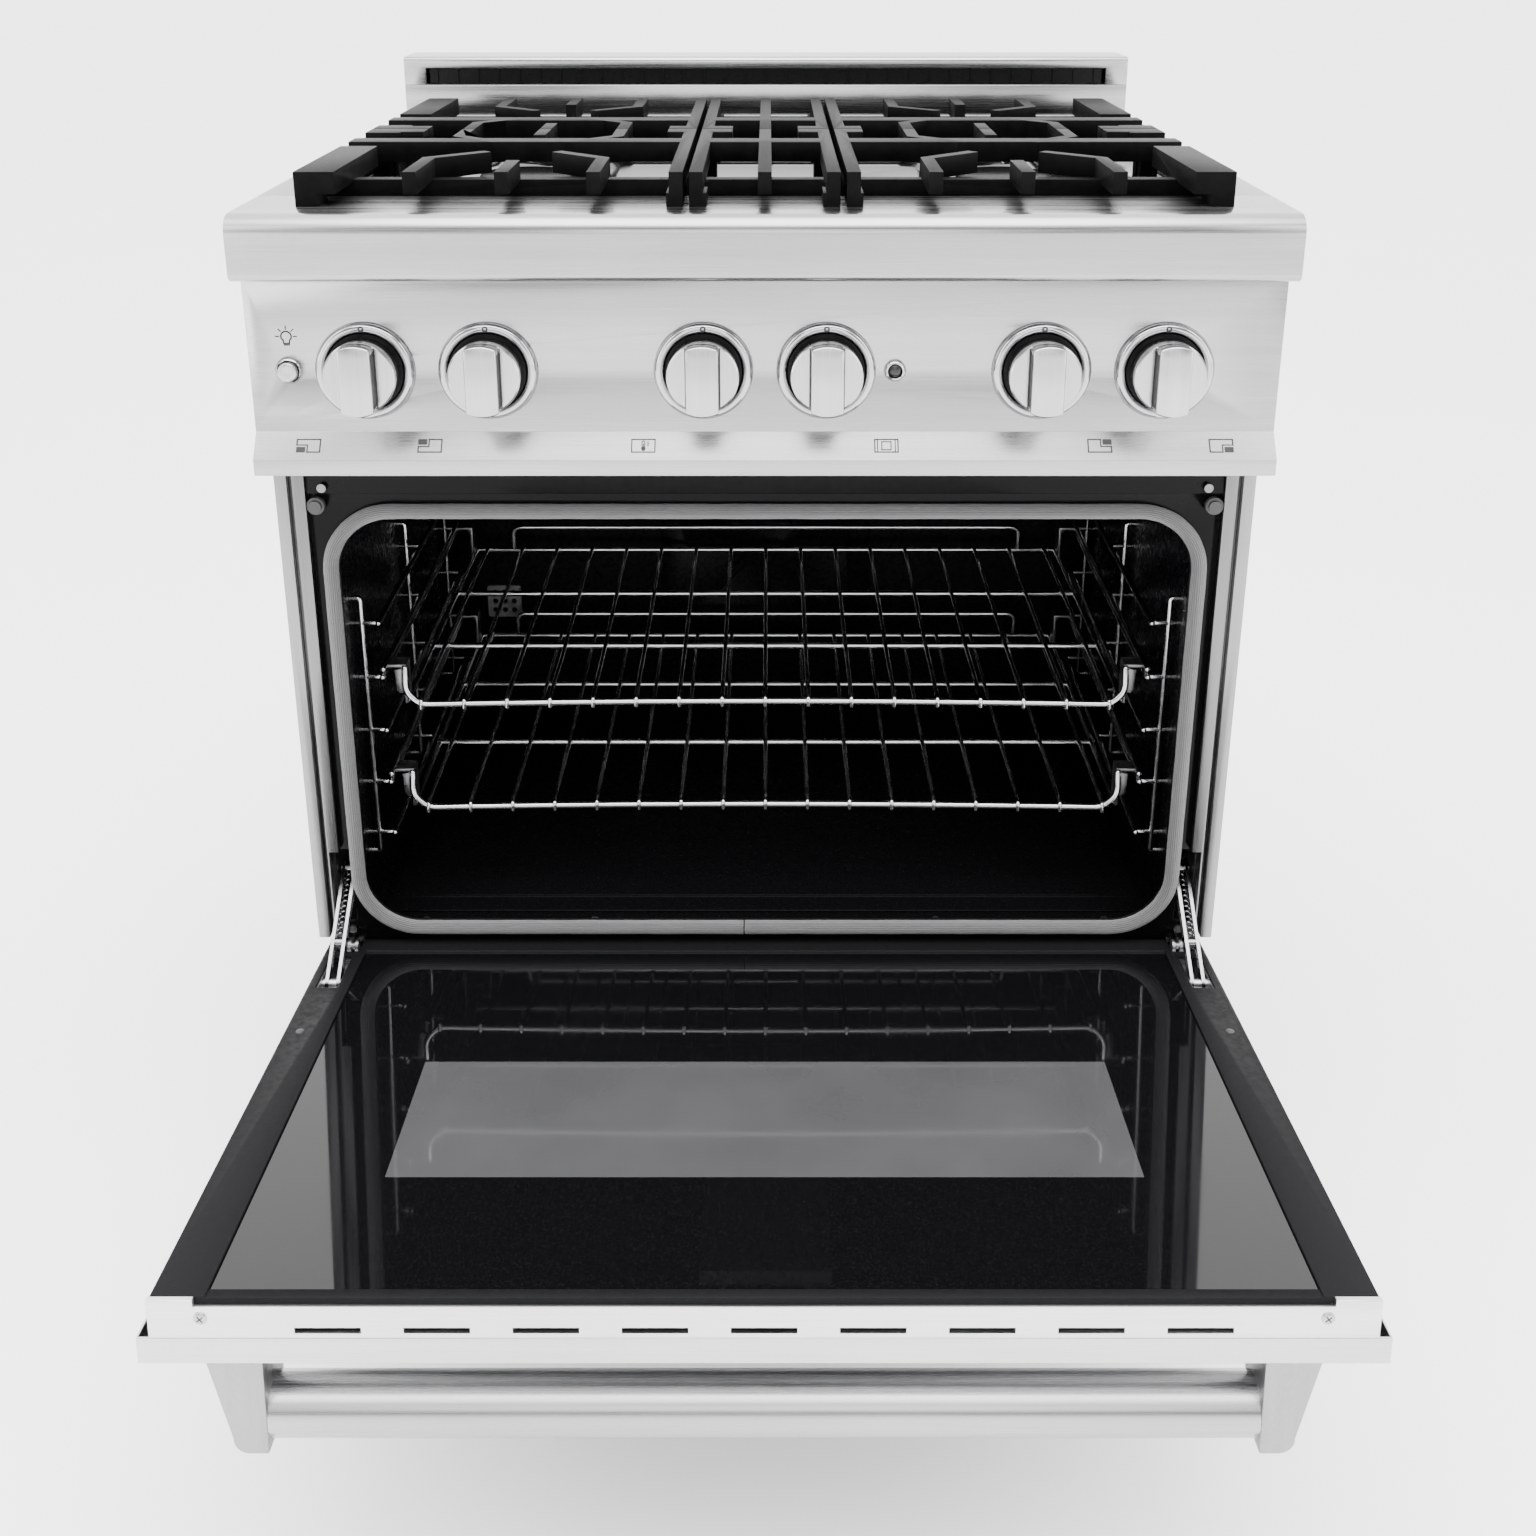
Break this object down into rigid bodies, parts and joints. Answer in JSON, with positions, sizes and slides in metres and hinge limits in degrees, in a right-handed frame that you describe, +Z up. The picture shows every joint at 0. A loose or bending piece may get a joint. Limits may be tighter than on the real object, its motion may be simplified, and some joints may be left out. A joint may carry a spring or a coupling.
{
  "type": "freestanding gas range",
  "caption": "Freestanding gas range with cast-iron grates, front control knobs, a tubular door handle and an oven door shown open over two wire racks.",
  "frame": {"origin": "on the floor under the middle of the range with its door open", "axes": "+X to the right of someone facing the range, +Y from the open door to the wall behind, +Z up"},
  "size_m": [0.76, 1.0792, 0.9735],
  "materials": {
    "brushed_steel": "fine horizontal brushed grain",
    "bright_steel": "satin",
    "black_enamel": "glossy vitreous enamel",
    "galvanised": "dull zinc",
    "cast_iron": "matte enamel",
    "chrome_wire": "plated wire",
    "chrome": "polished",
    "knob_metal": "satin",
    "burner_metal": "cast",
    "wool": "fibrous blanket",
    "seal": "woven cord",
    "bumper": "matte",
    "gland": "matte",
    "brass": "satin",
    "black_glass": "printed black round a clear window",
    "lens": "dark lens",
    "zinc": "zinc plated"
  },
  "bodies": {
    "chassis": {"side_panel_left": "brushed_steel", "side_panel_right": "brushed_steel", "rear_panel": "galvanised", "base_pan": "galvanised", "kick_panel": "brushed_steel", "front_posts": "brushed_steel", "front_frame": "black_enamel", "oven_liner": "black_enamel", "oven_floor_plate": "black_enamel", "insulation": "wool", "door_gasket": "seal", "door_bumpers": "bumper", "frame_screws": "zinc", "rack_guides": "chrome_wire", "oven_burners": "zinc", "fan_cover": "black_enamel", "sensor_grille": "zinc", "control_panel": "brushed_steel", "panel_bezels": "chrome", "indicator_lamp": "lens", "gas_manifold": "zinc", "front_rail": "brushed_steel", "cooktop_rims": "brushed_steel", "spill_tray": "black_enamel", "burner_bases": "burner_metal", "burner_caps": "cast_iron", "grate_front_left": "cast_iron", "grate_front_middle": "cast_iron", "grate_front_right": "cast_iron", "grate_rear_left": "cast_iron", "grate_rear_middle": "cast_iron", "grate_rear_right": "cast_iron", "backguard_riser": "brushed_steel", "backguard_cap": "brushed_steel", "hinge_receivers": "zinc", "gas_inlet": "brass", "cord_gland": "gland", "levelling_feet": "zinc"},
    "door": {"door_skin": "brushed_steel", "door_liner": "black_enamel", "door_end_trim": "bright_steel", "door_inner_glass": "black_glass", "door_outer_glass": "black_glass", "door_insulation": "wool", "handle_bar": "brushed_steel", "handle_brackets": "bright_steel", "hinge_plates": "zinc", "door_screws": "zinc"},
    "strut_left": {"hinge_strut_left": "chrome"},
    "strut_right": {"hinge_strut_right": "chrome"},
    "button": {"lamp_button": "chrome"},
    "rack_upper": {"rack_upper": "chrome_wire"},
    "rack_lower": {"rack_lower": "chrome_wire"},
    "knob_front_left": {"knob_front_left": "knob_metal"},
    "knob_rear_left": {"knob_rear_left": "knob_metal"},
    "knob_temperature": {"knob_temperature": "knob_metal"},
    "knob_oven": {"knob_oven": "knob_metal"},
    "knob_rear_right": {"knob_rear_right": "knob_metal"},
    "knob_front_right": {"knob_front_right": "knob_metal"}
  },
  "joints": [
    {"name": "door_hinge", "type": "hinge", "parent": "chassis", "child": "door", "pos_m": [0, -0.10838, 0.287], "axis": [-1, 0, 0], "range_deg": [0, 84.6]},
    {"name": "strut_pin_left", "type": "hinge", "parent": "door", "child": "strut_left", "pos_m": [-0.3545, -0.15692, 0.28355], "axis": [-1, 0, 0], "range_deg": [-84.6, 0]},
    {"name": "strut_pin_right", "type": "hinge", "parent": "door", "child": "strut_right", "pos_m": [0.3545, -0.15692, 0.28355], "axis": [-1, 0, 0], "range_deg": [-84.6, 0]},
    {"name": "knob_turn_front_left", "type": "hinge", "parent": "chassis", "child": "knob_front_left", "pos_m": [-0.293, -0.13538, 0.7966], "axis": [0, -1, 0], "range_deg": [0, 210]},
    {"name": "knob_turn_rear_left", "type": "hinge", "parent": "chassis", "child": "knob_rear_left", "pos_m": [-0.203, -0.13538, 0.7966], "axis": [0, -1, 0], "range_deg": [0, 210]},
    {"name": "knob_turn_temperature", "type": "hinge", "parent": "chassis", "child": "knob_temperature", "pos_m": [-0.045, -0.13538, 0.7966], "axis": [0, -1, 0], "range_deg": [0, 270]},
    {"name": "knob_turn_oven", "type": "hinge", "parent": "chassis", "child": "knob_oven", "pos_m": [0.045, -0.13538, 0.7966], "axis": [0, -1, 0], "range_deg": [0, 270]},
    {"name": "knob_turn_rear_right", "type": "hinge", "parent": "chassis", "child": "knob_rear_right", "pos_m": [0.203, -0.13538, 0.7966], "axis": [0, -1, 0], "range_deg": [0, 210]},
    {"name": "knob_turn_front_right", "type": "hinge", "parent": "chassis", "child": "knob_front_right", "pos_m": [0.293, -0.13538, 0.7966], "axis": [0, -1, 0], "range_deg": [0, 210]},
    {"name": "lamp_button_press", "type": "slide", "parent": "chassis", "child": "button", "axis": [0, 1, 0], "range_m": [0, 0.003], "stiffness_N_per_m": 300},
    {"name": "rack_slide_upper", "type": "slide", "parent": "chassis", "child": "rack_upper", "axis": [0, 1, 0], "range_m": [-0.3, 0]},
    {"name": "rack_slide_lower", "type": "slide", "parent": "chassis", "child": "rack_lower", "axis": [0, 1, 0], "range_m": [-0.3, 0]}
  ],
  "couplings": [
    {"joint": "strut_pin_left", "follows": "door_hinge", "ratio": -1},
    {"joint": "strut_pin_right", "follows": "door_hinge", "ratio": -1}
  ]
}
